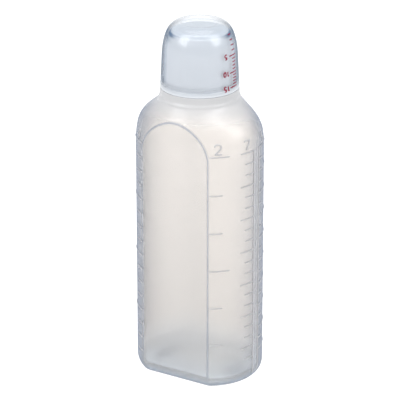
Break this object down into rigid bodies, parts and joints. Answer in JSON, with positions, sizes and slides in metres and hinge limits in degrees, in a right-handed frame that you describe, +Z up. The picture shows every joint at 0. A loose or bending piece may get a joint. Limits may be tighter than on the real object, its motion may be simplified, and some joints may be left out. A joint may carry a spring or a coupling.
{
  "type": "medicine dispensing bottle",
  "caption": "Oval translucent dispensing bottle for liquid medicine, with flat front and back panels, a screw cap, a sealing liner and a clear measuring cup pushed over the cap.",
  "frame": {"origin": "centre of the base, on the surface the bottle stands on", "axes": "+Z up along the neck's axis, X across the wide way of the oval, the front panel faces -Y"},
  "size_m": [0.056, 0.0404, 0.158],
  "materials": {
    "bottle_plastic": "milky translucent natural polyethylene with a soft gloss",
    "cap_plastic": "milky translucent polypropylene, smooth",
    "liner_foam": "soft white foamed polyethylene",
    "cup_plastic": "clear polypropylene, polished, with a faint blue cast",
    "scale_ink": "dark red printed ink"
  },
  "bodies": {
    "bottle": {"bottle_body": "bottle_plastic"},
    "liner": {"cap_liner": "liner_foam"},
    "cap": {"screw_cap": "cap_plastic"},
    "cup": {"measuring_cup": "cup_plastic"}
  },
  "joints": [
    {"name": "cap_rise", "type": "slide", "parent": "bottle", "child": "liner", "axis": [0, 0, 1], "range_m": [0, 0.00565]},
    {"name": "cap_turn", "type": "hinge", "parent": "liner", "child": "cap", "pos_m": [0, 0, 0.14], "axis": [0, 0, 1], "range_deg": [0, 504]},
    {"name": "cup_lift", "type": "slide", "parent": "cap", "child": "cup", "axis": [0, 0, 1], "range_m": [0, 0.05]}
  ],
  "couplings": [
    {"joint": "cap_rise", "follows": "cap_turn", "m_per_rad": 0.00063662}
  ]
}
